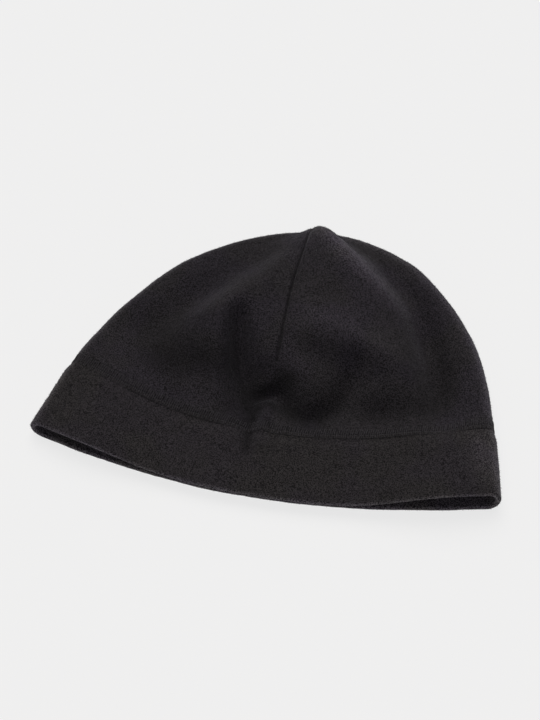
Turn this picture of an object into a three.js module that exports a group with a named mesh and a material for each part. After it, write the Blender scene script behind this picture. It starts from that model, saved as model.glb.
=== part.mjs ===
// A plain fleece watch cap lying on its back, flattened, with its opening towards -Y and its apex towards +Y.
// Millimetres, +Z up. The surface that the cap lies on is z = 0, and the origin is under the middle of the cap.
// The cap is two layers of cloth, a front layer that puffs up and a back layer that lies flat, joined round a
// rolled edge on the left and right. Sections run across the cap, numbered from the hem (0) to the apex.
import * as THREE from 'three';

// Driving sizes
const CLOTH = 2.2; // one layer of fleece
const HEM_WALL = 2 * CLOTH; // the band is folded double
const BAND_STEP = 0.7; // how far the face of the band stands out over the crown
const SEAM_GAP = 0.3; // between the crown's edge and the band's edge
const HEM_TO_SEAM = 45; // between the first two sections
const SEAM_TO_NEXT = 26; // between the second and third sections
const CENTRE_X = -1.8; // middle of the cap, in the frame of the tables below
const CENTRE_Y = 67.4; // the same, from the hem to the apex

// One row for each section: where its left edge, middle and right edge lie, the radius of the rolled
// edge on each side, and how far the front layer has slipped towards the opening.
const SECTIONS = [
  // leftX, leftY, middleX, middleY, rightX, rightY, leftFold, rightFold, slip
  [-137.5, -3, -2, -23.2, 133.5, -6, 7, 8, 4.6], // hem
  [-122.5, 43.5, -6, 18.5, 125.5, 40.5, 7.5, 8.5, 2], // seam between band and crown
  [-110, 72, -6, 45, 117, 71, 8, 9, 0],
  [-95, 100, -6, 72, 105, 98, 8.5, 9, 0],
  [-75, 125, -6, 99, 85.5, 125, 8.5, 9, 0],
  [-48, 145, -6, 125, 60, 147, 8.5, 8.5, 0],
  [-20, 155.5, -5, 146, 34, 159, 8, 8, 0],
  [5, 162.5, 5, 162.5, 5, 162.5, 8, 8, 0], // apex
];
const SEAM = 1;
const APEX = SECTIONS.length - 1;

// How far the front layer puffs up, one row for each section, at these places from the left edge (-1) to the right (1)
const PUFF_PLACES = [-1, -0.75, -0.4, 0, 0.4, 0.75, 1];
const PUFF = [
  [0, 1, -5, -6, -6, 2, 0],
  [0, 0, -4, -3.5, -3, 1, 0],
  [0, 2, 1, -4, 1, 3, 0],
  [0, 4, 11, 6, 12, 4, 0],
  [0, 3, 9, 10, 17, 3, 0],
  [0, 1, 4, 10, 15, 0, 0],
  [0, -2, 2, 7, 9, -1, 0],
  [0, 0, 0, 0, 0, 0, 0],
];

// Ridges and valleys of the front layer. Each is a soft fold along a smooth curve through its rows.
const FOLD_COLUMNS = ['x', 'y', 'height', 'width'];
const FOLDS = {
  leftRidge: [
    [-13, 132, 3, 6], [-20, 117, 5, 6], [-28, 104, 5, 6], [-37, 91, 4, 7], [-48, 81, 2, 8], [-62, 71, 0.5, 9],
  ],
  leftHollow: [
    [-25, 141, -3, 6], [-38, 126, -7, 8], [-50, 112, -11, 10], [-62, 98, -12, 11], [-74, 84, -10, 12],
    [-87, 69, -5, 13],
  ],
  leftValley: [
    [-34, 90, -3, 5], [-32, 80, -9, 5], [-30, 70, -13, 6], [-27, 60, -13, 8], [-24, 50, -11, 10],
    [-20, 40, -5, 10], [-17, 30, -2, 8], [-14, 19, -2, 5], [-12, 8, -1.5, 4], [-10, -3, -1, 4],
  ],
  leftSlope: [[-70, 52, -2, 12], [-56, 49, -4, 11], [-42, 46, -4, 9]],
  rightRidge: [
    [8, 148, 2, 6], [21, 136, 5, 6], [33, 125, 7, 6], [44, 114, 8, 7], [55, 102, 7, 8], [63, 88, 4, 9],
    [67, 74, 2, 10],
  ],
  rightHollow: [
    [50, 134, -4, 7], [60, 121, -8, 8], [68, 107, -9, 9], [74, 93, -9, 10], [79, 79, -10, 10], [83, 64, -9, 10],
    [85, 50, -7, 10], [86, 38, -3, 9],
  ],
  crossRidge: [[4, 80, 2, 8], [20, 76, 3.5, 9], [38, 71, 4.5, 9], [54, 67, 5, 10], [66, 63, 3, 10]],
  crossHollow: [[8, 66, -1, 6], [18, 62, -1.5, 6], [30, 58, -1, 6]],
  dartPuff: [[0, 57, 3, 7], [9, 51, 5, 8], [17, 46, 4, 9], [25, 43, 2, 8]],
  crease: [[-12, 38, -1, 5], [-5, 41, -2, 5], [2, 39, -3, 5], [7, 34, -1, 5]],
  nub: [[-8, 29, 1, 4], [-4, 27, 3, 5]],
  underPuff: [
    [-2, 35, -1, 5], [8, 30, -2, 7], [20, 28, -3, 7], [31, 32, -4, 7], [38, 44, -6, 6], [42, 56, -6, 6],
    [45, 64, -2, 6],
  ],
  rightLowHollow: [[46, 32, -3, 9], [64, 36, -4, 9]],
};
const CHAIN_DENSITY = 2.2; // bumps along a fold for each of its narrowest widths

// Facets
const FRONT_STATIONS = 52;
const BACK_STATIONS = 12;
const MIDDLE_FINENESS = 0.4; // how much closer the front's stations stand in the middle, where the folds are
const ROLL_STEPS = 4; // steps in each quarter turn of a rolled edge
const CROWN_ROWS = 25;
const SEAM_FINENESS = 1.2; // above 1, the crown's rows stand closer near the seam
const BAND_ROWS = 5;
const HEM_ROUND_STEPS = 4;
const NOSE_START = 0.22; // sections below the apex where the close rows of the tip begin
const NOSE_ROWS = [1, 0.55, 0.25, 0.07];
const WIDEST_ROLL = 0.7; // share of a narrow section that the rolled edges may take
const SMALLEST_HALF = 1e-6; // keeps the apex, where a section has no width, from a division by zero
const SECTION_NUDGE = 0.01; // step in section number for directions along the cap

// Smooth values of every column of a table between its rows
function smoothRow(table, place) {
  const last = table.length - 1;
  const index = Math.min(Math.max(Math.floor(place), 0), last - 1);
  const f = place - index;
  const from = table[index];
  const to = table[index + 1];
  const before = index > 0 ? table[index - 1] : from.map((value, i) => 2 * value - to[i]);
  const after = index < last - 1 ? table[index + 2] : to.map((value, i) => 2 * value - from[i]);
  return from.map((value, i) => {
    const slope = to[i] - before[i];
    const bend = 2 * before[i] - 5 * value + 4 * to[i] - after[i];
    const twist = 3 * value - 3 * to[i] + after[i] - before[i];
    return 0.5 * (2 * value + slope * f + bend * f ** 2 + twist * f ** 3);
  });
}

// Puff at one place across a section, smooth through the section's values
function puffAcross(values, across) {
  const last = PUFF_PLACES.length - 1;
  const slopeAt = (i) => {
    const low = Math.max(i - 1, 0);
    const high = Math.min(i + 1, last);
    return (values[high] - values[low]) / (PUFF_PLACES[high] - PUFF_PLACES[low]);
  };
  let index = 0;
  while (index < last - 1 && across >= PUFF_PLACES[index + 1]) {
    index += 1;
  }
  const step = PUFF_PLACES[index + 1] - PUFF_PLACES[index];
  const f = (across - PUFF_PLACES[index]) / step;
  return (
    values[index] * (1 + 2 * f) * (1 - f) ** 2 +
    slopeAt(index) * step * f * (1 - f) ** 2 +
    values[index + 1] * f ** 2 * (3 - 2 * f) -
    slopeAt(index + 1) * step * f ** 2 * (1 - f)
  );
}

// Each fold becomes a chain of soft bumps, so that its crest runs smoothly along its curve
function foldBumps(rows) {
  const reach = (a, b) => Math.hypot(b[0] - a[0], b[1] - a[1]);
  const length = rows.slice(1).reduce((sum, row, i) => sum + reach(rows[i], row), 0);
  const narrowest = Math.min(...rows.map((row) => row[FOLD_COLUMNS.indexOf('width')]));
  const count = Math.max(8, Math.floor((CHAIN_DENSITY * length) / narrowest));
  const chain = Array.from({ length: count }, (_, i) => smoothRow(rows, ((rows.length - 1) * i) / (count - 1)));
  return chain.map(([x, y, height, width], i) => {
    const low = Math.max(i - 1, 0);
    const high = Math.min(i + 1, count - 1);
    const spacing = reach(chain[low], chain[high]) / (high - low);
    return { x, y, width, height: (height * spacing) / (width * Math.sqrt(Math.PI)) };
  });
}

const BUMPS = Object.values(FOLDS).flatMap(foldBumps);

function foldHeight(x, y) {
  return BUMPS.reduce(
    (sum, bump) => sum + bump.height * Math.exp(-((x - bump.x) ** 2 + (y - bump.y) ** 2) / bump.width ** 2),
    0,
  );
}

// Stations round a section: across the front from left to right, round the right edge, back along the
// underside and round the left edge. flat is the place on the flat stretch, roll the share of the rolled
// edge passed, and rise 1 on the flat and 0 at the very edge.
function stationsRound() {
  const across = (count, front, sign, fineness) =>
    Array.from({ length: count }, (_, i) => {
      const even = sign * ((2 * i) / (count - 1) - 1);
      return { front, flat: even * (1 - fineness) + fineness * even ** 3, roll: 0, rise: 1 };
    });
  const rolled = (side, fromFront) =>
    Array.from({ length: 2 * ROLL_STEPS - 1 }, (_, i) => {
      const turn = ((i + 1) / ROLL_STEPS) * (Math.PI / 2);
      return {
        front: fromFront ? turn < Math.PI / 2 : turn > Math.PI / 2,
        flat: side,
        roll: Math.sin(turn),
        rise: Math.abs(Math.cos(turn)),
      };
    });
  return [
    ...across(FRONT_STATIONS, true, 1, MIDDLE_FINENESS),
    ...rolled(1, true),
    ...across(BACK_STATIONS, false, -1, 0),
    ...rolled(-1, false),
  ];
}

const STATIONS = stationsRound();

// Outer face of the cloth at one station of one section
function clothPoint(station, section) {
  const [leftX, leftY, middleX, middleY, rightX, rightY, leftFold, rightFold, slip] = smoothRow(SECTIONS, section);
  const half = Math.max(Math.hypot(rightX - leftX, rightY - leftY) / 2, SMALLEST_HALF);
  const meanFold = (leftFold + rightFold) / 2;
  const share = Math.min(meanFold / half, WIDEST_ROLL);
  const across = station.flat * (1 - share) + Math.sign(station.flat) * share * station.roll;
  const x = middleX + (across * (rightX - leftX)) / 2 + across ** 2 * ((leftX + rightX) / 2 - middleX);
  const arcY = middleY + (across * (rightY - leftY)) / 2 + across ** 2 * ((leftY + rightY) / 2 - middleY);
  const fold = THREE.MathUtils.lerp(leftFold, rightFold, (across + 1) / 2);
  const fullness = Math.sqrt(1 - (1 - Math.min(half / meanFold, 1)) ** 2);
  const rise = fold * fullness * station.rise;
  if (!station.front) {
    return new THREE.Vector3(x, arcY, fold - rise);
  }
  const y = arcY - slip * (1 - across ** 2);
  const puff = puffAcross(smoothRow(PUFF, section), across);
  const folds = foldHeight(x, y) * station.rise * fullness;
  return new THREE.Vector3(x, y, fold + rise + puff + folds);
}

// Direction straight out of the cloth, from its neighbours round and along the cap
function clothNormal(index, section) {
  const count = STATIONS.length;
  const along = clothPoint(STATIONS[index], Math.min(section + SECTION_NUDGE, APEX))
    .sub(clothPoint(STATIONS[index], section - SECTION_NUDGE));
  const round = clothPoint(STATIONS[(index + 1) % count], section)
    .sub(clothPoint(STATIONS[(index + count - 1) % count], section));
  return round.cross(along).normalize();
}

// One ring of points round the cap, moved out along the cloth's normal, never below the table
function ringOf(section, outwards) {
  return STATIONS.map((station, index) => {
    const point = clothPoint(station, section).addScaledVector(clothNormal(index, section), outwards);
    point.z = Math.max(point.z, 0);
    return point;
  });
}

// Triangles between two neighbouring rings
function bandBetween(lower, upper, count) {
  const faces = [];
  for (let i = 0; i < count; i += 1) {
    const next = (i + 1) % count;
    faces.push(lower + i, lower + next, upper + next);
    faces.push(lower + i, upper + next, upper + i);
  }
  return faces;
}

function geometryFrom(points, faces) {
  const geometry = new THREE.BufferGeometry();
  const moved = points.flatMap((point) => [point.x - CENTRE_X, point.y - CENTRE_Y, point.z]);
  geometry.setAttribute('position', new THREE.Float32BufferAttribute(moved, 3));
  geometry.setIndex(faces);
  geometry.computeVertexNormals();
  return geometry;
}

// The crown: one layer of cloth, closed at the apex and open at the seam
function crownGeometry() {
  const start = SEAM + SEAM_GAP / SEAM_TO_NEXT;
  const noseStart = APEX - NOSE_START;
  const even = Array.from(
    { length: CROWN_ROWS },
    (_, i) => start + (noseStart - start) * (i / CROWN_ROWS) ** SEAM_FINENESS,
  );
  const sections = [...even, ...NOSE_ROWS.map((share) => APEX - NOSE_START * share)];
  const outer = sections.map((section) => ringOf(section, 0));
  const inner = sections.map((section) => ringOf(section, -CLOTH));
  const count = STATIONS.length;
  const apex = clothPoint(STATIONS[0], APEX);
  const points = [...outer.flat(), ...inner.flat(), apex, apex.clone().setY(apex.y - CLOTH)];
  const innerStart = sections.length * count;
  const apexIndex = points.length - 2;
  const faces = bandBetween(innerStart, 0, count);
  for (let row = 0; row < sections.length - 1; row += 1) {
    faces.push(...bandBetween(row * count, (row + 1) * count, count));
    faces.push(...bandBetween(innerStart + (row + 1) * count, innerStart + row * count, count));
  }
  const lastRing = (sections.length - 1) * count;
  for (let i = 0; i < count; i += 1) {
    const next = (i + 1) % count;
    faces.push(lastRing + i, lastRing + next, apexIndex);
    faces.push(innerStart + lastRing + next, innerStart + lastRing + i, apexIndex + 1);
  }
  return geometryFrom(points, faces);
}

// The hem's rounded edge: half rings from the outer face round to the inner one
function hemRound(outer, inner, section) {
  const below = ringOf(section - SECTION_NUDGE, 0);
  const above = ringOf(section, 0);
  return Array.from({ length: HEM_ROUND_STEPS - 1 }, (_, step) => {
    const turn = ((step + 1) / HEM_ROUND_STEPS) * Math.PI;
    return outer.map((point, i) => {
      const centre = point.clone().add(inner[i]).multiplyScalar(0.5);
      const spoke = point.clone().sub(centre).multiplyScalar(Math.cos(turn));
      const down = below[i].clone().sub(above[i]).normalize().multiplyScalar((HEM_WALL / 2) * Math.sin(turn));
      return centre.add(spoke).add(down);
    });
  });
}

// The band: cloth folded double, butted to the crown at the seam and rounded at the hem
function bandGeometry() {
  const start = HEM_WALL / 2 / HEM_TO_SEAM;
  const sections = Array.from({ length: BAND_ROWS }, (_, i) => SEAM + ((start - SEAM) * i) / (BAND_ROWS - 1));
  const outer = sections.map((section) => ringOf(section, BAND_STEP));
  const inner = sections.map((section) => ringOf(section, BAND_STEP - HEM_WALL));
  const rounded = hemRound(outer[BAND_ROWS - 1], inner[BAND_ROWS - 1], start);
  const rings = [...outer, ...rounded, ...inner.reverse()];
  const count = STATIONS.length;
  const faces = rings.flatMap((_, row) => bandBetween(((row + 1) % rings.length) * count, row * count, count));
  return geometryFrom(rings.flat(), faces);
}

// Matte black fleece
function fleece(tint) {
  return new THREE.MeshStandardMaterial({ color: tint, roughness: 0.96, metalness: 0 });
}

function piece(name, geometry, material) {
  const mesh = new THREE.Mesh(geometry, material);
  mesh.name = name;
  return mesh;
}

const cap = new THREE.Group();
cap.add(piece('crown', crownGeometry(), fleece(0x232225)));
cap.add(piece('band', bandGeometry(), fleece(0x252427)));

export default cap;
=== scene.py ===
"""A plain black fleece cap lying on its back on a pale surface, with its opening towards the camera.

The cap is worked out in millimetres in the frame of the tables below: +Y from the opening to the apex, and
z = 0 the surface that it lies on. CENTRE moves it to the CAD frame, and every mesh is then made in metres.
"""
import math

import bpy
import numpy as np
from mathutils import Matrix, Vector


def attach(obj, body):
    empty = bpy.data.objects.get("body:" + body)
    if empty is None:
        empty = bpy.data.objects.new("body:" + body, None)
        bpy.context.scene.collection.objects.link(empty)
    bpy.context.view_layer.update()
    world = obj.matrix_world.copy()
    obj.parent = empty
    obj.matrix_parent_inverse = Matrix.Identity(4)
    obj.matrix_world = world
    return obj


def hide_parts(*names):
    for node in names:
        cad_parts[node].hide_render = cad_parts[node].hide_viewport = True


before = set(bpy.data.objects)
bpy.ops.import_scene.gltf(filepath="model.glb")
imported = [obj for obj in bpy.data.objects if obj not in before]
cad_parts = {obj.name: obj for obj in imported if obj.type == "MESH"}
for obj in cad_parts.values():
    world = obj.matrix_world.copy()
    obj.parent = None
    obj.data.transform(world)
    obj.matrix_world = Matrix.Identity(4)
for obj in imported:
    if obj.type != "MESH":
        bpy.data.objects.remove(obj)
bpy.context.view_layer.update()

MM = 0.001
SEED = 2029

# Sizes of the cloth, in mm
CLOTH = 2.2  # one layer of fleece
HEM_WALL = 2 * CLOTH  # the band is folded double
BAND_STEP = 0.7  # how far the face of the band stands out over the crown
NAP_DEPTH = 0.3  # the nap inside the crown adds to the cloth's thickness
CENTRE = np.array([-1.8, 67.4, 0.0])  # middle of the cap, in the frame of the tables
HALF_GAP = 0.06  # from the seam's middle to the cut edge on each side
HEM_TO_SEAM = 45.0  # about the depth of cloth between the first two sections
SEAM_TO_NEXT = 26.0  # and between the second and the third
FRONT_INNER_LOWEST = 2.6  # the front layer of the crown lies on the back layer where it is pressed down
BACK_INNER_LOWEST = 0.8
HEM_THINNING = 1.5  # the doubled cloth is pressed thinner at the fold of its hem
HEM_THINNING_DEPTH = 9.0  # from the hem
HEM_REACH = 1.5  # how far the fold's round nose stands out
SEAM_THINNING = 1.6  # and thinner where it is sewn to the crown
SEAM_THINNING_ENDS = (2, 9)  # distances from the seam between which the thinning fades
CLOTH_LOWEST = 0.02  # no cloth or thread dips below this height over the table
NAP_LOWEST = 0.01

# One row for each section: where its left edge, middle and right edge lie, the radius of the rolled edge on
# each side, and how far the front layer and the back layer have slipped towards the opening
SECTIONS = np.array([
    # left_x, left_y, middle_x, middle_y, right_x, right_y, left_fold, right_fold, front_slip, back_slip
    (-136.8, -5.5, -2, -23.2, 133.7, -6.6, 6.5, 8, 4.6, 1.5),  # hem
    (-123, 43.5, -6, 18.5, 124.3, 40.5, 7.5, 8.5, 2, 0),  # seam between band and crown
    (-110.6, 72.3, -6, 45, 116, 71, 8, 9, 0, 0),
    (-94, 99.4, -6, 72, 105, 98, 8.5, 9, 0, 0),
    (-74.2, 124.3, -6, 99, 85.5, 125, 8.5, 9, 0, 0),
    (-47, 144, -6, 125, 61, 148, 8.5, 8.5, 0, 0),
    (-22, 156.8, -5, 147, 30, 160.4, 8, 8, 0, 0),
    (1, 162, 1, 162, 1, 162, 8, 8, 0, 0),  # apex
])
SEAM = 1
APEX = len(SECTIONS) - 1
BACK_SKEW = 0.7  # the back layer has slipped further on the left than on the right
WIDEST_ROLL = 0.7  # share of a narrow section that the rolled edges may take
SMALLEST_HALF = 1e-6  # keeps the apex, where a section has no width, from a division by zero
SMALLEST_LENGTH = 1e-9  # the same for directions
SMALLEST_GAP = 1e-6  # and for weights by distance

# How far the front layer puffs up, one row for each section, at these places from left to right
PUFF_PLACES = np.array([-1, -0.75, -0.4, 0, 0.4, 0.75, 1])
PUFF = np.array([
    (0, 1, -5, -6, -6, 2, 0),
    (0, 0, -4.5, -5, -4, 0.5, 0),
    (0, 0, 4, -4, 1, 3, 0),
    (0, 2, 10, 6, 12, 4, 0),
    (0, 3, 9, 10, 16.5, 4, 0),
    (0, 1, 4, 10, 15, 0, 0),
    (0, -2, 2, 7, 9, -1, 0),
    (0, 0, 0, 0, 0, 0, 0),
])

# Ridges and valleys of the front layer, each a soft fold along a smooth curve through its rows:
# x, y, height, width
FOLDS = {
    "left_ridge": [
        (-12, 130, 3, 9), (-18, 115, 4, 10), (-27, 102, 3.5, 10), (-38, 89, 2.5, 9), (-51, 77, 1, 9)],
    "left_hollow": [
        (-26, 136, -2, 7), (-38, 122, -4, 9), (-49, 108, -6, 10), (-60, 93, -7, 11), (-73, 79, -6, 12),
        (-87, 65, -3, 12)],
    "left_valley": [
        (-32, 88, -4, 6), (-31, 79, -8, 6), (-29, 70, -11, 7), (-27, 60, -12, 8), (-23, 50, -11, 9),
        (-20, 41, -8, 9), (-18, 30, -5, 8), (-15, 19, -3.5, 5), (-12, 8, -3, 4), (-10, -3, -1.5, 3)],
    "left_slope": [(-72, 58, -3, 12), (-57, 50, -5, 12), (-43, 46, -5, 11)],
    "right_ridge": [
        (0, 152, 6, 8), (12, 142, 10, 10), (26, 131, 8, 11), (41, 119, 4.5, 11), (55, 106, 1.5, 10)],
    "right_hollow": [
        (49, 133, -3, 8), (62, 119, -6, 9), (72, 104, -9, 10), (79, 89, -11, 10), (85, 74, -12, 11),
        (89, 59, -12, 12), (92, 45, -10, 12), (92, 34, -5, 11)],
    "cross_ridge": [(4, 80, 2, 8), (20, 76, 3.5, 9), (38, 71, 4.5, 9), (54, 67, 5, 10), (66, 63, 3, 10)],
    "cross_hollow": [(8, 66, -1, 6), (18, 62, -1.5, 6), (30, 58, -1, 6)],
    "dark_spot": [(19, 105, -1, 6), (24, 101, -1.5, 6), (29, 97, -1, 6)],
    "dart_puff": [(0, 56, 3, 8), (9, 49, 6, 9), (18, 42, 6, 10), (28, 38, 4, 9)],
    "crease": [(-14, 37, -3, 5), (-6, 41, -5, 4), (1, 40, -4.5, 5), (6, 35, -3, 5)],
    "nub": [(-4, 33, 0.5, 4), (-5, 27, 2.5, 4), (-6, 19, 2, 4), (-6, 11, 1.5, 4), (-4, 2, 0.5, 4)],
    "under_puff": [
        (2, 37, -4, 5), (8, 31, -4, 6), (19, 27, -5, 7), (29, 31, -5, 7), (37, 42, -5, 8), (41, 55, -5, 8),
        (43, 65, -2, 6)],
    "right_low_hollow": [(44, 34, -4, 10), (60, 36, -5, 10), (74, 40, -3, 10)],
    "band_bump": [(-3, 9, 1, 4), (-1, 0, 1, 5)],
    "right_end_crease": [(119, 24, 0, 3), (123, 17, 0.8, 2.5), (128, 9, 0, 3)],
    "dart_groove": [(-1, 160.5, -1.2, 1), (-4.8, 110, -1.6, 1), (-5, 58, -1.4, 1)],
}
CHAIN_DENSITY = 2.2  # bumps along a fold for each of its narrowest widths

# Painted shade in creases of the front layer and painted highlight on its crests, where shade and light
# fall:
# x, y, share of the tone lost (gained where it is negative), width
PAINTED_SHADE_AND_HIGHLIGHT = {
    "pit": [
        (-30, 56, 0.4, 9), (-25, 48, 0.6, 10), (-18, 41, 0.8, 9), (-12, 36, 0.8, 7), (-14, 29, 0.6, 7),
        (-14, 20, 0.3, 5)],
    "pit_foot": [(-36, 34, 0.2, 7), (-29, 30, 0.4, 7), (-23, 24, 0.3, 6)],
    "dent": [(-12, 24, 0.5, 4), (-13, 14, 0.55, 3), (-13, 5, 0.5, 3), (-11, -4, 0.2, 3)],
    "crescent": [(-12, 42, 0.3, 5), (-5, 46, 0.5, 5), (1, 49, 0.6, 5), (6, 46, 0.5, 5)],
    "over_crescent": [(-15, 55, 0.35, 6), (-7, 56, 0.4, 6), (1, 53, 0.2, 5)],
    "tongue": [(-16, 34, 0.4, 5), (-11, 34, 0.65, 5), (-3, 34, 0.6, 5), (3, 32, 0.6, 5)],
    "smile": [(3, 32, 0.65, 6), (9, 30, 0.65, 6), (19, 25, 0.5, 8), (29, 31, 0.4, 9), (38, 46, 0.3, 8)],
    "puff_foot": [(2, 50, 0.1, 8), (12, 48, 0.3, 8), (22, 46, 0.4, 9), (32, 52, 0.3, 8)],
    "right_low": [(46, 37, 0.35, 9), (60, 39, 0.4, 10), (76, 43, 0.35, 10), (90, 46, 0.2, 8)],
    "right_flank": [
        (58, 140, 0.05, 8), (72, 116, 0.2, 9), (84, 92, 0.25, 9), (91, 68, 0.45, 9), (92, 52, 0.5, 9)],
    "left_slope": [
        (-98, 82, 0.2, 12), (-82, 68, 0.25, 13), (-66, 58, 0.4, 13), (-50, 52, 0.5, 12),
        (-38, 46, 0.5, 10)],
    "left_flank": [(-50, 122, 0.15, 9), (-66, 104, 0.2, 11), (-82, 86, 0.2, 12)],
    "left_low": [(-84, 56, 0.2, 9), (-72, 48, 0.4, 10), (-58, 42, 0.3, 9)],
    "left_shade": [(-74, 76, 0.2, 10), (-60, 76, 0.3, 9), (-46, 78, 0.2, 8)],
    "valley": [(-31, 88, 0, 7), (-30, 72, 0.4, 7), (-29, 56, 0.5, 9)],
    "dart": [(-1, 160, 0.3, 1), (-4.8, 110, 0.6, 1), (-5, 58, 0.5, 1)],
    "apex_crest": [(2, 157, -1.4, 8), (10, 147, -1.8, 9), (19, 137, -1.6, 8)],
    "right_crest": [
        (20, 136, -1.9, 9), (29, 130, -2, 8), (42, 120, -1.4, 8), (59, 109, -0.7, 8), (66, 102, -0.1, 8)],
    "right_end": [(114, 34, -0.4, 8), (119, 22, -0.8, 8), (124, 10, -0.8, 8), (127, 0, -0.4, 8)],
    "cross_crest": [(2, 92, -0.1, 6), (18, 87, -0.3, 7), (40, 82, -0.25, 8), (56, 76, -0.2, 8)],
}

# Tone painted on the fleece, as a factor on the cloth's colour: painted shade and painted highlight,
# painted light inside the cap, and a darker strip along the seam
MOST_PAINTED_SHADE = 0.75
MOST_PAINTED_HIGHLIGHT = 3.0
HEM_PAINTED_HIGHLIGHT = 3.5  # painted highlight: the fold of the hem is painted paler
EDGE_PAINTED_HIGHLIGHT = 1.2  # painted highlight along the rolled edges, where light catches them
FRONT_HIGHLIGHT_ENDS = (0, 0.3)  # share of a rolled edge's fall between which the highlight is painted, on the front layer
BACK_HIGHLIGHT_ENDS = (0.4, 1)
LADDER_TONE = 0.78  # the pressed fleece between the rungs of the ladder stitch
LADDER_ENDS = (2.6, 3.3)  # mm from the seam between which that fades
INSIDE_PAINTED_LIGHT = 3  # painted light: the shaded faces inside the cap are painted this many times paler, to match their seen tone

# Relief of the fleece, in mm
LUMPS = ((0.24, 14), (0.06, 4.5), (0.07, 1.9), (0.12, 1.1))  # height and size, soft lumps to small clumps
LUMPS_FADE = 4  # distance from the seam where they reach their full height
CROWN_INSIDE_SHARE = 0.6  # of that height, inside the crown
BAND_SHARE = 1.1  # on the band's face
BAND_INSIDE_SHARE = 0.8  # inside the band and round its fold
CROWN_INSIDE_SHIFT = 50  # the shifts keep the lumps of the faces from being alike
BAND_SHIFT = 200
BAND_INSIDE_SHIFT = 300
STITCH_SINK = 0.15  # how deep the stitch presses the cloth
CROWN_SHOULDER_ENDS = (2.2, 3.8)  # distances from the seam between which the cloth rises again
BAND_SHOULDER_ENDS = (3.2, 9)
GROOVE_DEPTH = 0.12
GROOVE_WIDTH = 0.4

# Whole numbers that scramble a cell's place into a value that looks random
CELL_FACTORS = (73856093, 19349663, 83492791)
SEED_FACTOR = 2654435
SCRAMBLE_FACTOR = 1274126177
SCRAMBLE_SHIFTS = (13, 16)
KEPT_BITS = 0x7FFFFFFF
VALUE_BITS = 0xFFFF
SEED_SHIFT = 17.31

# Mesh fineness
FRONT_STATIONS = 340
BACK_STATIONS = 90
ROLL_STEPS = 9  # steps in each quarter turn of a rolled edge
MIDDLE_FINENESS = 0.3  # how much closer the front's stations stand in the middle, where the folds are
CROWN_ROWS = 150
INNER_CROWN_ROWS = 22
SEAM_ROWS = 12
SEAM_ROWS_DEPTH = 6.5  # mm from the seam with close rows
NOSE_ROWS = (1, 0.75, 0.55, 0.38, 0.24, 0.13, 0.05)
NOSE_START = 0.25  # sections below the apex where the close rows of the tip begin
BAND_ROWS = 54
INNER_BAND_ROWS = 16
HEM_STEPS = 9
NORMAL_NUDGE = 0.004  # steps in section number for directions along the cap
SEAM_NUDGE = 0.05
HEM_NUDGE = 0.01

# Columns of the stations round a section
FRONT = 0  # 1 on the front layer, 0 on the back layer
RISE = 3  # 1 on the flat, 0 at the very edge


def smooth_rows(table, place):
    """Smooth values of every column of a table at places between its rows."""
    place = np.asarray(place, float)
    last = len(table) - 1
    index = np.clip(np.floor(place).astype(int), 0, last - 1)
    share = (place - index)[..., None]
    here, after = table[index], table[index + 1]
    before = np.where((index > 0)[..., None], table[np.maximum(index - 1, 0)], 2 * here - after)
    beyond = np.where((index < last - 1)[..., None], table[np.minimum(index + 2, last)], 2 * after - here)
    slope = after - before
    bend = 2 * before - 5 * here + 4 * after - beyond
    twist = 3 * here - 3 * after + beyond - before
    return 0.5 * (2 * here + slope * share + bend * share**2 + twist * share**3)


def puff_across(values, across):
    """Puff at places across sections, smooth through each section's values."""
    slopes = np.empty_like(values)
    slopes[..., 1:-1] = (values[..., 2:] - values[..., :-2]) / (PUFF_PLACES[2:] - PUFF_PLACES[:-2])
    slopes[..., 0] = (values[..., 1] - values[..., 0]) / (PUFF_PLACES[1] - PUFF_PLACES[0])
    slopes[..., -1] = (values[..., -1] - values[..., -2]) / (PUFF_PLACES[-1] - PUFF_PLACES[-2])
    index = np.clip(np.searchsorted(PUFF_PLACES, across, side="right") - 1, 0, len(PUFF_PLACES) - 2)
    step = PUFF_PLACES[index + 1] - PUFF_PLACES[index]
    share = (across - PUFF_PLACES[index]) / step

    def take(rows, shift):
        return np.take_along_axis(rows, (index + shift)[..., None], -1)[..., 0]

    return (
        take(values, 0) * (1 + 2 * share) * (1 - share)**2
        + take(slopes, 0) * step * share * (1 - share)**2
        + take(values, 1) * share**2 * (3 - 2 * share)
        - take(slopes, 1) * step * share**2 * (1 - share)
    )


def fold_bumps(rows):
    """Turns a fold's rows into a chain of soft round bumps: x, y, height, width."""
    table = np.array(rows, float)
    length = np.hypot(*np.diff(table[:, :2], axis=0).T).sum()
    count = max(8, int(CHAIN_DENSITY * length / table[:, 3].min()))
    chain = smooth_rows(table, np.linspace(0, len(table) - 1, count))
    spacing = np.hypot(np.gradient(chain[:, 0]), np.gradient(chain[:, 1]))
    chain[:, 2] *= spacing / (chain[:, 3] * math.sqrt(math.pi))
    return chain


FOLD_BUMPS = np.concatenate([fold_bumps(rows) for rows in FOLDS.values()])
PAINTED_SHADE_AND_HIGHLIGHT_BUMPS = np.concatenate([fold_bumps(rows) for rows in PAINTED_SHADE_AND_HIGHLIGHT.values()])


def summed_bumps(bumps, x, y):
    """Sum of round bumps at places of the plan: fold height in mm, or share of the colour taken by painted
    shade (added by painted highlight where negative).
    """
    total = np.zeros_like(x)
    for bump_x, bump_y, height, width in bumps:
        total += height * np.exp(-((x - bump_x)**2 + (y - bump_y)**2) / width**2)
    return total


def smooth_step(low, high, value):
    share = np.clip((value - low) / (high - low), 0, 1)
    return share * share * (3 - 2 * share)


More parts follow.
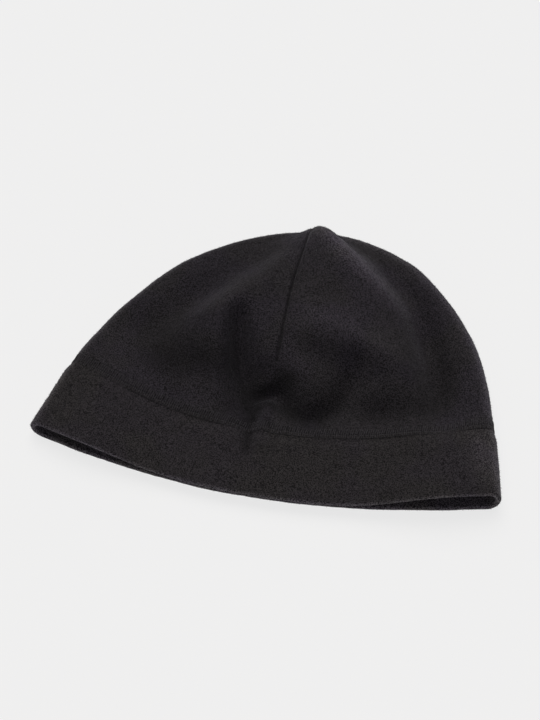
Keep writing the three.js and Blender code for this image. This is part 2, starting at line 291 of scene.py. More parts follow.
def outer_tone(points, stations, distance):
    """Tone of the fleece's outer face: 1 where no shade or highlight is painted.
    It is less with painted shade in creases of the front, and less at the seam; it is more with painted
    highlight on crests and along the rolled edges.
    """
    on_front = stations[:, FRONT] == 1
    # painted shade in the front's creases, and painted highlight on its crests where the share is negative
    painted_shade_share = summed_bumps(PAINTED_SHADE_AND_HIGHLIGHT_BUMPS, points[..., 0], points[..., 1]) * on_front
    painted_shading = 1 - np.clip(painted_shade_share, -MOST_PAINTED_HIGHLIGHT, MOST_PAINTED_SHADE)
    pressed = 1 - smooth_step(*LADDER_ENDS, np.abs(distance))
    # painted highlight along the rolled edges
    fall = 1 - stations[:, RISE]
    rolled = np.where(on_front, smooth_step(*FRONT_HIGHLIGHT_ENDS, fall), smooth_step(*BACK_HIGHLIGHT_ENDS, fall))
    return painted_shading * (1 - (1 - LADDER_TONE) * pressed) * (1 + EDGE_PAINTED_HIGHLIGHT * rolled)


def stations_round(front_count, back_count):
    """Stations round a section: front from left to right, the right edge, the back, the left edge.

    Columns: front (1 or 0), place on the flat stretch, share of the rolled edge passed, and rise, which is
    1 on the flat and 0 at the very edge.
    """
    def across(count, front, sign, fineness):
        even = sign * np.linspace(-1, 1, count)
        place = even * (1 - fineness) + fineness * even**3
        return np.stack([np.full(count, front), place, np.zeros(count), np.ones(count)], -1)

    def rolled(side, from_front):
        turn = np.arange(1, 2 * ROLL_STEPS) / ROLL_STEPS * math.pi / 2
        front = turn < math.pi / 2 if from_front else turn > math.pi / 2
        return np.stack([front, np.full(len(turn), side), np.sin(turn), np.abs(np.cos(turn))], -1)

    return np.concatenate([
        across(front_count, 1, 1, MIDDLE_FINENESS), rolled(1, True),
        across(back_count, 0, -1, 0), rolled(-1, False),
    ])


def cloth_points(stations, sections):
    """Outer face of the cloth, one row of points for each section, without nap or stitching."""
    grid = np.zeros((len(sections), len(stations)))
    front, flat, roll, rise = np.broadcast_arrays(*stations.T, grid)[:4]
    table = smooth_rows(SECTIONS, sections)[:, None, :]
    left_x, left_y, middle_x, middle_y, right_x, right_y = np.moveaxis(table[..., :6], -1, 0)
    left_fold, right_fold, front_slip, back_slip = np.moveaxis(table[..., 6:], -1, 0)
    half = np.maximum(np.hypot(right_x - left_x, right_y - left_y) / 2, SMALLEST_HALF)
    mean_fold = (left_fold + right_fold) / 2
    share = np.minimum(mean_fold / half, WIDEST_ROLL)
    across = flat * (1 - share) + np.sign(flat) * share * roll
    x = middle_x + across * (right_x - left_x) / 2 + across**2 * ((left_x + right_x) / 2 - middle_x)
    arc_y = middle_y + across * (right_y - left_y) / 2 + across**2 * ((left_y + right_y) / 2 - middle_y)
    fold = left_fold + (right_fold - left_fold) * (across + 1) / 2
    fullness = np.sqrt(1 - (1 - np.minimum(half / mean_fold, 1))**2)
    lift = fold * fullness * rise
    inward = 1 - across**2
    y = arc_y - front_slip * inward * front - back_slip * inward**2 * (1 - BACK_SKEW * across) * (1 - front)
    puff_rows = np.broadcast_to(smooth_rows(PUFF, sections)[:, None, :], x.shape + (len(PUFF_PLACES),))
    puff = puff_across(puff_rows, across) + summed_bumps(FOLD_BUMPS, x, y) * rise * fullness
    z = np.where(front == 1, fold + lift + puff, fold - lift)
    return np.stack([x, y, z], -1)


def unit(vectors):
    return vectors / np.maximum(np.linalg.norm(vectors, axis=-1, keepdims=True), SMALLEST_LENGTH)


def cloth_sheet(stations, sections):
    """Points and outward directions of the cloth's outer face."""
    points = cloth_points(stations, sections)
    ahead = cloth_points(stations, np.minimum(sections + NORMAL_NUDGE, APEX))
    behind = cloth_points(stations, sections - NORMAL_NUDGE)
    round_cap = np.roll(behind, -1, axis=1) - np.roll(behind, 1, axis=1)
    return points, unit(np.cross(round_cap, ahead - behind))


def lattice_noise(points, size, seed):
    """Smooth noise from -1 to 1 at points in mm, with lumps of the given size."""
    scaled = points / size + seed * SEED_SHIFT
    cell = np.floor(scaled).astype(np.int64)
    share = scaled - cell
    share = share * share * (3 - 2 * share)
    total = np.zeros(points.shape[:-1])
    for corner in range(8):
        offset = np.array([corner & 1, corner >> 1 & 1, corner >> 2 & 1])
        keys = (cell + offset) * CELL_FACTORS
        mixed = keys[..., 0] ^ keys[..., 1] ^ keys[..., 2] ^ (seed * SEED_FACTOR)
        mixed = (mixed ^ (mixed >> SCRAMBLE_SHIFTS[0])) * SCRAMBLE_FACTOR & KEPT_BITS
        value = ((mixed ^ (mixed >> SCRAMBLE_SHIFTS[1])) & VALUE_BITS) / (VALUE_BITS / 2) - 1
        weight = np.prod(np.where(offset == 1, share, 1 - share), axis=-1)
        total += value * weight
    return total


def fleece_relief(points):
    """Uneven pile of the fleece, in mm: small clumps on soft lumps."""
    return sum(height * lattice_noise(points, size, seed) for seed, (height, size) in enumerate(LUMPS, 1))


def seam_relief(distance):
    """Height over the crown's face at a distance from the seam, in mm, positive towards the apex."""
    crown = -STITCH_SINK * (1 - smooth_step(*CROWN_SHOULDER_ENDS, distance))
    band = -STITCH_SINK + (BAND_STEP + STITCH_SINK) * smooth_step(*BAND_SHOULDER_ENDS, -distance)
    groove = -GROOVE_DEPTH * np.exp(-(distance / GROOVE_WIDTH)**2)
    return np.where(distance >= 0, crown, band) + groove


def seam_distance(stations, sections):
    """Distance of each point from the seam along the cloth, in mm, positive towards the apex."""
    near = cloth_points(stations, np.array([SEAM - SEAM_NUDGE, SEAM, SEAM + SEAM_NUDGE]))
    towards_apex = np.linalg.norm(near[2] - near[1], axis=-1) / SEAM_NUDGE
    towards_hem = np.linalg.norm(near[1] - near[0], axis=-1) / SEAM_NUDGE
    away = (sections - SEAM)[:, None]
    return np.where(away >= 0, away * towards_apex, away * towards_hem)


def on_table(points, lowest=CLOTH_LOWEST):
    """Lifts points that would dip into the table."""
    points[..., 2] = np.maximum(points[..., 2], lowest)
    return points


def mesh_object(name, points, faces, smooth=True, tone=None):
    """Makes an object of points in mm and faces, in one array or in a list of faces of different sizes."""
    mesh = bpy.data.meshes.new(name)
    metres = (points - CENTRE) * MM
    mesh.vertices.add(len(metres))
    mesh.vertices.foreach_set("co", metres.astype(np.float32).ravel())
    if isinstance(faces, list):
        sizes = [len(face) for face in faces]
        corners = np.concatenate(faces)
    else:
        sizes = np.full(len(faces), faces.shape[1])
        corners = faces.ravel()
    mesh.loops.add(len(corners))
    mesh.loops.foreach_set("vertex_index", corners.astype(np.int32))
    mesh.polygons.add(len(sizes))
    starts = np.concatenate([[0], np.cumsum(sizes)[:-1]])
    mesh.polygons.foreach_set("loop_start", starts.astype(np.int32))
    mesh.update(calc_edges=True)
    mesh.polygons.foreach_set("use_smooth", np.full(len(sizes), smooth))
    if tone is not None:
        attribute = mesh.attributes.new("tone", "FLOAT", "POINT")
        attribute.data.foreach_set("value", tone.astype(np.float32).ravel())
    piece = bpy.data.objects.new(name, mesh)
    bpy.context.scene.collection.objects.link(piece)
    return piece


def ring_faces(ring_count, station_count, closed):
    """Quads between neighbouring rings of points, and between the last and first when closed."""
    rows = np.arange(ring_count if closed else ring_count - 1)
    here = np.arange(station_count)[None, :]
    after = np.roll(here, -1)
    low = rows[:, None] * station_count
    high = ((rows + 1) % ring_count)[:, None] * station_count
    return np.stack([low + here, low + after, high + after, high + here], -1).reshape(-1, 4)


def fan_faces(ring_start, station_count, tip, flip):
    """Triangles from a ring of points to a tip."""
    here = ring_start + np.arange(station_count)
    after = ring_start + np.roll(np.arange(station_count), -1)
    order = [after, here] if flip else [here, after]
    return np.stack([*order, np.full(station_count, tip)], -1)


def crown_inside(stations, sections):
    """Inner face of the crown, plainer than the outer one."""
    points, normals = cloth_sheet(stations, sections)
    relief = CROWN_INSIDE_SHARE * fleece_relief(points + CROWN_INSIDE_SHIFT)
    relief[0] = 0
    inside = points - normals * (CLOTH + NAP_DEPTH + relief[..., None])
    lowest = np.where(stations[:, FRONT] == 1, FRONT_INNER_LOWEST, BACK_INNER_LOWEST)
    return on_table(inside, lowest)


def crown_piece(stations):
    """The crown: an outer face with all its detail and a plainer inner one, joined at the cut edge."""
    close = np.linspace(HALF_GAP, SEAM_ROWS_DEPTH, SEAM_ROWS) / SEAM_TO_NEXT + SEAM
    even = np.linspace(close[-1], APEX - NOSE_START, CROWN_ROWS + 1)[1:-1]
    nose = APEX - NOSE_START * np.array(NOSE_ROWS)
    sections = np.concatenate([close, even, nose])
    points, normals = cloth_sheet(stations, sections)
    distance = seam_distance(stations, sections)
    relief = fleece_relief(points) * smooth_step(0, LUMPS_FADE, distance) + seam_relief(distance)
    outer = on_table(points + normals * relief[..., None])
    inner_even = np.linspace(close[2], APEX - NOSE_START, INNER_CROWN_ROWS)
    inner = crown_inside(stations, np.concatenate([[close[0]], inner_even, nose[1:]]))
    tip = cloth_points(stations, np.array([APEX]))[0, 0]
    rings = np.concatenate([inner[::-1], outer])
    points_of_rings = rings.reshape(-1, 3)
    last_ring = len(points_of_rings) - len(stations)
    faces = [
        *ring_faces(len(rings), len(stations), False),
        *fan_faces(0, len(stations), len(points_of_rings), True),
        *fan_faces(last_ring, len(stations), len(points_of_rings) + 1, False),
    ]
    # painted light on the faces inside the crown; painted shade and painted highlight on its outer face
    tone = np.concatenate([
        np.full(inner.shape[0] * inner.shape[1], INSIDE_PAINTED_LIGHT),
        outer_tone(outer, stations, distance).ravel(),
        [INSIDE_PAINTED_LIGHT, 1],
    ])
    all_points = np.concatenate([points_of_rings, [tip + (0, -CLOTH, 0), tip]])
    return mesh_object("crown_cloth", all_points, faces, tone=tone), outer


def hem_fold(stations, start, outer_edge, inner_edge, last_points):
    """Rings round the hem's fold, from the band's outer face to its inner one, and the turn of each."""
    below = cloth_points(stations, np.array([start - HEM_NUDGE]))[0]
    along = unit(below - last_points)
    centre = (outer_edge + inner_edge) / 2
    spoke = outer_edge - centre
    turns = np.arange(1, HEM_STEPS) / HEM_STEPS * math.pi
    rings = np.stack([
        centre + spoke * math.cos(turn) + along * HEM_REACH * math.sin(turn) for turn in turns])
    rings += unit(rings - centre) * (fleece_relief(rings + BAND_SHIFT) * BAND_INSIDE_SHARE)[..., None]
    return rings, turns


def band_piece(stations):
    """The band: fleece folded double, with a soft round hem, pressed thin where it is sewn to the crown."""
    start = HEM_WALL / 2 / HEM_TO_SEAM
    close = SEAM - np.linspace(HALF_GAP, SEAM_ROWS_DEPTH, SEAM_ROWS) / HEM_TO_SEAM
    even = np.linspace(close[-1], start, BAND_ROWS + 1)[1:]
    sections = np.concatenate([close, even])
    points, normals = cloth_sheet(stations, sections)
    distance = seam_distance(stations, sections)
    lumps = fleece_relief(points + BAND_SHIFT) * smooth_step(0, LUMPS_FADE, -distance) * BAND_SHARE
    outer = points + normals * (lumps + seam_relief(distance))[..., None]

    inner_sections = np.concatenate([[close[0]], np.linspace(close[3], start, INNER_BAND_ROWS)])
    inner_points, inner_normals = cloth_sheet(stations, inner_sections)
    inner_distance = seam_distance(stations, inner_sections)
    from_hem = (inner_sections - start)[:, None] * HEM_TO_SEAM
    wall = HEM_WALL - BAND_STEP - SEAM_THINNING * (1 - smooth_step(*SEAM_THINNING_ENDS, -inner_distance))
    wall = wall - HEM_THINNING * (1 - smooth_step(0, HEM_THINNING_DEPTH, from_hem))
    inner_lumps = fleece_relief(inner_points + BAND_INSIDE_SHIFT) * BAND_INSIDE_SHARE
    inner = inner_points - inner_normals * (wall + inner_lumps)[..., None]

    fold, turns = hem_fold(stations, start, outer[-1], inner[-1], points[-1])
    rings = on_table(np.concatenate([outer, fold, inner[::-1]]))
    # painted highlight round the fold of the hem, and painted light on the faces inside the band
    hem_highlight = 1 + HEM_PAINTED_HIGHLIGHT * np.sin(np.minimum(turns, math.pi / 2))[:, None]**2
    tone = np.concatenate([
        outer_tone(outer, stations, distance),
        np.broadcast_to(hem_highlight, fold.shape[:2]),
        np.full(inner.shape[:2], INSIDE_PAINTED_LIGHT),
    ])
    faces = ring_faces(len(rings), len(stations), True)[:, ::-1]
    skin = np.concatenate([outer, fold])
    return mesh_object("band_cloth", rings.reshape(-1, 3), faces, tone=tone), skin


# Stitches, in mm
STITCH_FRONT_STATIONS = 600
STITCH_BACK_STATIONS = 300
THREAD_SIDES = 5
RUNG_OFFSETS = (-2.7, -1.4, 0.0, 1.4, 2.7)  # from the seam, across the ladder
RUNG_PITCH = 1.28
RUNG_SLANT = 0.25  # of the pitch
RUNG_LIFT = 0.12  # of the thread's middle over the cloth
RUNG_THREAD = 0.24  # radius
ROW_OFFSETS = (-3.1, 3.1)
ROW_LIFT = 0.02
ROW_DIP = 0.1  # how deep the thread goes down and up again in each stitch
ROW_THREAD = 0.08
ROW_FINENESS = 6  # points for each stitch
DART_SPAN = (0.06, 1.97)  # from just below the apex to the dart's end, in rows of the groove
DART_LOOKUPS = 400
DART_SHEET_START = SEAM + 0.4
DART_SHEET_END = APEX - 0.1
DART_SHEET_ROWS = 260
DART_NEIGHBOURS = 4
DART_STEP = 0.5  # between points of the thread
DART_PITCH = 2.6
DART_DIP = 0.16
DART_SINK = 0.02
DART_THREAD = 0.2


def seam_rings(offsets, lift):
    """Rings of points on the stitched surface at distances from the seam, and the last's directions out."""
    stations = stations_round(STITCH_FRONT_STATIONS, STITCH_BACK_STATIONS)
    rings = []
    for offset in offsets:
        section_depth = SEAM_TO_NEXT if offset >= 0 else HEM_TO_SEAM
        sections = np.array([SEAM + offset / section_depth])
        points, normals = cloth_sheet(stations, sections)
        relief = seam_relief(seam_distance(stations, sections))
        rings.append((points + normals * (relief[..., None] + lift))[0])
    return np.array(rings), normals[0]


def closed_loop(ring):
    return np.concatenate([ring, ring[:1]])


def girth(ring):
    return np.linalg.norm(np.diff(closed_loop(ring), axis=0), axis=-1).sum()


def travelled_along(path):
    """Distance from the start of a path to each of its points."""
    return np.concatenate([[0], np.cumsum(np.linalg.norm(np.diff(path, axis=0), axis=-1))])


def at_distances(wanted, travelled, values):
    """Values, one row for each point of a path, at distances along it."""
    return np.stack([np.interp(wanted, travelled, column) for column in values.T], -1)


def along_loop(ring, places):
    """Points at places (0 to 1) of a closed ring's length."""
    closed = closed_loop(ring)
    travelled = travelled_along(closed)
    return at_distances(np.mod(places, 1) * travelled[-1], travelled, closed)


def tube(path, outwards, radius, closed):
    """Rings of points round a thread's path, and their faces."""
    if closed:
        tangent = unit(np.roll(path, -1, axis=0) - np.roll(path, 1, axis=0))
    else:
        tangent = unit(np.gradient(path, axis=0))
    side = unit(np.cross(tangent, outwards))
    up = np.cross(side, tangent)
    angle = np.arange(THREAD_SIDES) / THREAD_SIDES * 2 * math.pi
    rings = path[:, None] + radius * (
        np.cos(angle)[None, :, None] * side[:, None] + np.sin(angle)[None, :, None] * up[:, None])
    faces = list(ring_faces(len(path), THREAD_SIDES, closed))
    if not closed:
        faces.append(np.arange(THREAD_SIDES)[::-1])
        faces.append(np.arange(THREAD_SIDES) + (len(path) - 1) * THREAD_SIDES)
    return rings.reshape(-1, 3), faces


def joined_tubes(name, tubes):
    points, faces, start = [], [], 0
    for tube_points, tube_faces in tubes:
        points.append(tube_points)
        faces.extend(face + start for face in tube_faces)
        start += len(tube_points)
    return mesh_object(name, on_table(np.concatenate(points)), faces)


def ladder_rungs_piece():
    """The thread of the ladder stitch that crosses to and fro over the seam.

    Its directions out are looked up along their own loop, which is near enough for a round thread.
    """
    rings, normals = seam_rings(RUNG_OFFSETS, RUNG_LIFT)
    last = len(rings) - 1
    rungs = 2 * int(girth(rings[len(rings) // 2]) / RUNG_PITCH / 2)
    path, outwards = [], []
    for rung in range(rungs):
        order = range(last + 1) if rung % 2 == 0 else range(last, -1, -1)
        for step, row in enumerate(order):
            place = np.array([(rung + RUNG_SLANT * (step / last - 0.5)) / rungs])
            path.append(along_loop(rings[row], place)[0])
            outwards.append(along_loop(normals, place)[0])
    thread = tube(np.array(path), unit(np.array(outwards)), RUNG_THREAD, True)
    return joined_tubes("ladder_rungs", [thread])


def ladder_rows_piece():
    """The two rows of straight stitches along the sides of the ladder."""
    rings, normals = seam_rings(ROW_OFFSETS, ROW_LIFT)
    tubes = []
    for ring in rings:
        stitches = int(girth(ring) / RUNG_PITCH / 2)
        places = np.arange(stitches * ROW_FINENESS) / (stitches * ROW_FINENESS)
        outwards = unit(along_loop(normals, places))
        dip = ROW_DIP * np.cos(places * stitches * 2 * math.pi)
        thread = along_loop(ring, places) + outwards * dip[:, None]
        tubes.append(tube(thread, outwards, ROW_THREAD, True))
    return joined_tubes("ladder_rows", tubes)


def dart_path(stations):
    """The dart's line on the front layer, from the apex to half height, with its directions out."""
    groove = smooth_rows(np.array(FOLDS["dart_groove"], float), np.linspace(*DART_SPAN, DART_LOOKUPS))
    sections = np.linspace(DART_SHEET_START, DART_SHEET_END, DART_SHEET_ROWS)
    sheet, sheet_normals = cloth_sheet(stations[:FRONT_STATIONS], sections)
    sheet = sheet.reshape(-1, 3)
    sheet_normals = sheet_normals.reshape(-1, 3)
    path, outwards = [], []
    for x, y in groove[:, :2]:
        near = np.argsort((sheet[:, 0] - x)**2 + (sheet[:, 1] - y)**2)[:DART_NEIGHBOURS]
        gap = np.hypot(sheet[near, 0] - x, sheet[near, 1] - y) + SMALLEST_GAP
        weight = (1 / gap) / (1 / gap).sum()
        path.append((x, y, (sheet[near, 2] * weight).sum()))
        outwards.append((sheet_normals[near] * weight[:, None]).sum(0))
    return np.array(path), unit(np.array(outwards))


def dart_stitch_piece(stations):
    """Small sunk stitches that close the dart."""
    path, outwards = dart_path(stations)
    travelled = travelled_along(path)
    places = np.linspace(0, travelled[-1], int(travelled[-1] / DART_STEP))
    line = at_distances(places, travelled, path)
    up = unit(at_distances(places, travelled, outwards))
    dip = DART_DIP * np.cos(places / DART_PITCH * 2 * math.pi)
    thread = line + up * (dip - DART_SINK)[:, None]
    return joined_tubes("dart_stitch", [tube(thread, up, DART_THREAD, False)])


# Nap and lint, in mm
ROWS_AT_SEAM = 6  # the cloth's rows nearest the seam, which stay bare under the stitch
FIBRE_ROOT = 0.12  # how deep a fibre stands in the cloth
CROWN_FIBRES = 42000  # in each half of the crown
BAND_FIBRES = 44000
FIBRE_LENGTH = 0.75
FIBRE_RADIUS = 0.075
FIBRE_SPREAD = 0.7  # how far the fibres lean
SHORTEST_SHARE = 0.5  # of a fibre's length, and the longest has one and a half lengths
THINNEST_SHARE = 0.7  # of its radius
THICKNESS_RANGE = 0.6
CROWN_SPECKS = 260
BAND_SPECKS = 160
SPECK_LENGTH = 0.9
SPECK_RADIUS = 0.07
SPECK_SPREAD = 1.6
SPIKE_TURNS = (0, 2 * math.pi / 3, 4 * math.pi / 3)
SPIKE_FACES = ((0, 2, 1), (0, 1, 3), (1, 2, 3), (2, 0, 3))


def scatter(generator, rings, count):
    """Random places on the faces between rings of points, evenly by area, with their directions out."""
    quads = ring_faces(len(rings), rings.shape[1], False)
    points = rings.reshape(-1, 3)
    corner = points[quads[:, 0]]
    across = points[quads[:, 1]] - corner
    along = points[quads[:, 3]] - corner
    cross = np.cross(across, along)
    area = np.linalg.norm(cross, axis=-1)
    chosen = generator.choice(len(quads), count, p=area / area.sum())
    share_across, share_along = generator.random((2, count, 1))
    places = corner[chosen] + share_across * across[chosen] + share_along * along[chosen]
    return places, unit(cross[chosen])


def nap_piece(name, generator, rings, count, length, radius, spread):
    """Short pointed fibres that stand up from the cloth, each a closed spike with three sides."""
    places, out = scatter(generator, rings, count)
    direction = unit(out + generator.normal(0, spread, (count, 3)))
    reach = length * (SHORTEST_SHARE + generator.random((count, 1)))
    side = unit(np.cross(direction, unit(generator.normal(0, 1, (count, 3)))))
    other = np.cross(direction, side)
    thickness = radius * (THINNEST_SHARE + THICKNESS_RANGE * generator.random((count, 1)))
    root = places - out * FIBRE_ROOT
    corners = [root + thickness * (math.cos(turn) * side + math.sin(turn) * other) for turn in SPIKE_TURNS]
    points = on_table(np.stack([*corners, root + direction * reach], 1).reshape(-1, 3), NAP_LOWEST)
    first = np.arange(count)[:, None] * (len(corners) + 1)
    faces = np.concatenate([first + face for face in SPIKE_FACES])
    return mesh_object(name, points, faces, smooth=False)


# Materials
FLEECE_ROUGHNESS = 0.95
FLEECE_SPECULAR = 0.15
FLEECE_SHEEN = 0.2
FLEECE_SHEEN_ROUGHNESS = 0.25
FLEECE_SHEEN_TINT = (0.92, 0.9, 1.0)
FLEECE_BUMP = 0.5  # mm
MOTTLE = (0.62, 1, 0.6)  # the nap's fine mottle: size in mm, detail, roughness
CLUMPS = (2.0, 2, 0.6)
PATCHES = (28, 1, 0.5)
MOTTLE_SHARE = 0.93
CLUMPS_SHARE = 0.07
MOTTLE_ENDS = (0.432, 0.568)  # values of the mottle that give the darkest and the lightest colour
PATCH_ENDS = (0.42, 0.58)
VIOLET = (1.0, 0.97, 1.04)  # the cloth's black leans a little to violet in some patches
OLIVE = (1.0, 1.0, 0.96)  # and to olive in others
TWIST = (1.2, 2, 0.5)  # the thread's twist: size in mm, detail, roughness
TWIST_ENDS = (0.35, 0.65)
PLAIN_SPECULAR = 0.2
CROWN_GREYS = ((0.0035, 0.0031, 0.0038), (0.0322, 0.0293, 0.0337))  # darkest and lightest
BAND_GREYS = ((0.0037, 0.0033, 0.0039), (0.0330, 0.0302, 0.0319))
RUNG_GREYS = ((0.013, 0.012, 0.0135), (0.036, 0.033, 0.037))
DARK_THREAD_GREYS = ((0.003, 0.0028, 0.0032), (0.012, 0.011, 0.012))
NAP_GREY = (0.041, 0.037, 0.042)
LINT_GREY = (0.2, 0.2, 0.21)


def noise_values(tree, size_mm, detail, roughness):
    """Noise in the object's own space."""
    place = tree.nodes.new("ShaderNodeTexCoord")
    noise = tree.nodes.new("ShaderNodeTexNoise")
    noise.inputs["Scale"].default_value = 1 / (size_mm * MM)
    noise.inputs["Detail"].default_value = detail
    noise.inputs["Roughness"].default_value = roughness
    tree.links.new(place.outputs["Object"], noise.inputs["Vector"])
    return noise.outputs["Fac"]


def ramp_colours(tree, values, ends, colours):
    """Colour that goes from the first to the second as the values go from one end to the other."""
    ramp = tree.nodes.new("ShaderNodeValToRGB")
    for element, position, colour in zip(ramp.color_ramp.elements, ends, colours):
        element.position = position
        element.color = (*colour, 1)
    tree.links.new(values, ramp.inputs["Fac"])
    return ramp.outputs["Color"]


def math_values(tree, operation, values, factor, added=None):
    """Values times a factor, and plus others where they are given."""
    node = tree.nodes.new("ShaderNodeMath")
    node.operation = operation
    tree.links.new(values, node.inputs[0])
    node.inputs[1].default_value = factor
    if added is not None:
        tree.links.new(added, node.inputs[2])
    return node.outputs[0]


def fleece_material(name, greys):
    """Matte napped fleece: a fine mottle of two greys, soft clumps in relief and a faint sheen."""
    material = bpy.data.materials.new(name)
    material.use_nodes = True
    tree = material.node_tree
    shader = tree.nodes["Principled BSDF"]
    shader.inputs["Roughness"].default_value = FLEECE_ROUGHNESS
    shader.inputs["Specular IOR Level"].default_value = FLEECE_SPECULAR
    shader.inputs["Sheen Weight"].default_value = FLEECE_SHEEN
    shader.inputs["Sheen Roughness"].default_value = FLEECE_SHEEN_ROUGHNESS
    shader.inputs["Sheen Tint"].default_value = (*FLEECE_SHEEN_TINT, 1)

    clumps = math_values(tree, "MULTIPLY", noise_values(tree, *CLUMPS), CLUMPS_SHARE)
    mottle = math_values(tree, "MULTIPLY_ADD", noise_values(tree, *MOTTLE), MOTTLE_SHARE, clumps)
    mottled = ramp_colours(tree, mottle, MOTTLE_ENDS, greys)
    tints = ramp_colours(tree, noise_values(tree, *PATCHES), PATCH_ENDS, (VIOLET, OLIVE))
    tinted = tree.nodes.new("ShaderNodeVectorMath")
    tinted.operation = "MULTIPLY"
    tree.links.new(mottled, tinted.inputs[0])
    tree.links.new(tints, tinted.inputs[1])
    # the tone attribute scales the colour: painted shade, painted highlight and painted light inside the
    # cap
    tone = tree.nodes.new("ShaderNodeAttribute")
    tone.attribute_name = "tone"
    toned = tree.nodes.new("ShaderNodeVectorMath")
    toned.operation = "SCALE"
    tree.links.new(tinted.outputs[0], toned.inputs[0])
    tree.links.new(tone.outputs["Fac"], toned.inputs["Scale"])
    tree.links.new(toned.outputs[0], shader.inputs["Base Color"])

    bump = tree.nodes.new("ShaderNodeBump")
    bump.inputs["Strength"].default_value = 1
    bump.inputs["Distance"].default_value = FLEECE_BUMP * MM
    tree.links.new(mottle, bump.inputs["Height"])
    tree.links.new(bump.outputs["Normal"], shader.inputs["Normal"])
    return material


def plain_material(name, colour, roughness, sheen, specular=PLAIN_SPECULAR):
    material = bpy.data.materials.new(name)
    material.use_nodes = True
    shader = material.node_tree.nodes["Principled BSDF"]
    shader.inputs["Base Color"].default_value = (*colour, 1)
    shader.inputs["Roughness"].default_value = roughness
    shader.inputs["Specular IOR Level"].default_value = specular
    shader.inputs["Sheen Weight"].default_value = sheen
    return material


def thread_material(name, greys):
    """Spun thread: a fine twist in tone along the thread."""
    material = plain_material(name, greys[0], roughness=0.8, sheen=0.02)
    tree = material.node_tree
    twisted = ramp_colours(tree, noise_values(tree, *TWIST), TWIST_ENDS, greys)
    tree.links.new(twisted, tree.nodes["Principled BSDF"].inputs["Base Color"])
    return material


crown_fleece = fleece_material("crown_fleece", CROWN_GREYS)
band_fleece = fleece_material("band_fleece", BAND_GREYS)
nap_fleece = plain_material("nap_fibre", NAP_GREY, roughness=0.9, sheen=0.05)
lint = plain_material("lint", LINT_GREY, roughness=0.9, sheen=0.1)
rung_thread = thread_material("rung_thread", RUNG_GREYS)
dark_thread = thread_material("dark_thread", DARK_THREAD_GREYS)

# Pieces of the cap
stations = stations_round(FRONT_STATIONS, BACK_STATIONS)
crown, crown_skin = crown_piece(stations)
band, band_skin = band_piece(stations)
rungs = ladder_rungs_piece()
rows = ladder_rows_piece()
dart_stitch = dart_stitch_piece(stations)
crown.data.materials.append(crown_fleece)
band.data.materials.append(band_fleece)
rungs.data.materials.append(rung_thread)
rows.data.materials.append(dark_thread)
dart_stitch.data.materials.append(dark_thread)
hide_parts("crown")
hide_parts("band")
pieces = [crown, band, rungs, rows, dart_stitch]

generator = np.random.default_rng(SEED)
crown_half = len(crown_skin) // 2
crown_face = crown_skin[ROWS_AT_SEAM:]
band_face = band_skin[ROWS_AT_SEAM:][:, ::-1]
for name, rings, count in (
    ("crown_nap_low", crown_skin[ROWS_AT_SEAM:crown_half], CROWN_FIBRES),
    ("crown_nap_high", crown_skin[crown_half - 1:], CROWN_FIBRES),
    ("band_nap", band_face, BAND_FIBRES),
):
    nap = nap_piece(name, generator, rings, count, FIBRE_LENGTH, FIBRE_RADIUS, FIBRE_SPREAD)
    nap.data.materials.append(nap_fleece)
    pieces.append(nap)
for name, rings, count in (
    ("crown_lint", crown_face, CROWN_SPECKS),
    ("band_lint", band_face, BAND_SPECKS),
):
    specks = nap_piece(name, generator, rings, count, SPECK_LENGTH, SPECK_RADIUS, SPECK_SPREAD)
    specks.data.materials.append(lint)
    pieces.append(specks)

for piece in pieces:
    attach(piece, "root")

# Floor: a white backdrop that glows of itself, so that the cap's shadow on it is faint
FLOOR_SIZE = 6  # m
FLOOR_COLOUR = (0.1, 0.1, 0.1)
FLOOR_GLOW = 0.768
bpy.ops.mesh.primitive_plane_add(size=FLOOR_SIZE)
floor = bpy.context.object
floor.name = "floor"
floor_paint = plain_material("floor_paint", FLOOR_COLOUR, roughness=1.0, sheen=0.0, specular=0.0)
floor_shader = floor_paint.node_tree.nodes["Principled BSDF"]
floor_shader.inputs["Emission Color"].default_value = (1, 1, 1, 1)
floor_shader.inputs["Emission Strength"].default_value = FLOOR_GLOW
floor.data.materials.append(floor_paint)

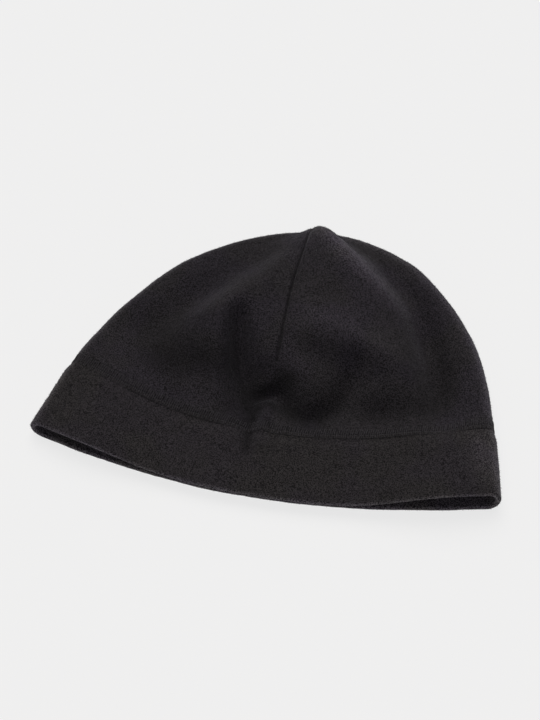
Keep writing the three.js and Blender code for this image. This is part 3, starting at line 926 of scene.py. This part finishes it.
# Light: a broad soft one from behind, above and the left, a weak one from the front and a dim pale room
ROOM_COLOUR = (0.88, 0.87, 1.0)
ROOM_STRENGTH = 0.15
MAIN_LIGHT = {"strength": 2.9, "colour": (1.0, 0.97, 0.935), "spread": 50, "towards": (0.18, -0.6, -1)}
FILL_LIGHT = {"strength": 0.35, "colour": (1.0, 1.0, 1.0), "spread": 70, "towards": (-0.1, 1, -0.7)}


def sun(name, strength, colour, spread, towards):
    """A far light with a spread in degrees that shines in a direction."""
    light = bpy.data.lights.new(name, "SUN")
    light.energy = strength
    light.color = colour
    light.angle = math.radians(spread)
    light_object = bpy.data.objects.new(name, light)
    light_object.rotation_mode = "QUATERNION"
    light_object.rotation_quaternion = Vector(towards).to_track_quat("-Z", "Y")
    bpy.context.scene.collection.objects.link(light_object)


world = bpy.data.worlds.new("room")
bpy.context.scene.world = world
world.use_nodes = True
world.node_tree.nodes["Background"].inputs["Color"].default_value = (*ROOM_COLOUR, 1)
world.node_tree.nodes["Background"].inputs["Strength"].default_value = ROOM_STRENGTH
sun("soft_light", **MAIN_LIGHT)
sun("front_fill", **FILL_LIGHT)

# Camera
AZIMUTH = math.radians(10.6)
ELEVATION = math.radians(55)
FOCAL = 110.0
SENSOR = 36.0
PIXELS_HIGH = 720
PIXELS_PER_MM = 1.713  # at the middle of the picture
TARGET = Vector((-8.7, -1.9, 8.0))  # mm, in the CAD frame
distance_mm = PIXELS_HIGH / PIXELS_PER_MM * FOCAL / SENSOR
back = Vector((
    math.sin(AZIMUTH) * math.cos(ELEVATION), -math.cos(AZIMUTH) * math.cos(ELEVATION), math.sin(ELEVATION)))
right = Vector((math.cos(AZIMUTH), math.sin(AZIMUTH), 0))
up = back.cross(right)
eye = (TARGET + back * distance_mm) * MM
camera = bpy.data.cameras.new("camera")
camera.lens = FOCAL
camera.sensor_width = SENSOR
camera_object = bpy.data.objects.new("camera", camera)
camera_object.matrix_world = Matrix([
    [right[0], up[0], back[0], eye[0]],
    [right[1], up[1], back[1], eye[1]],
    [right[2], up[2], back[2], eye[2]],
    [0, 0, 0, 1],
])
bpy.context.scene.collection.objects.link(camera_object)
bpy.context.scene.camera = camera_object
bpy.context.scene.view_settings.view_transform = "Standard"
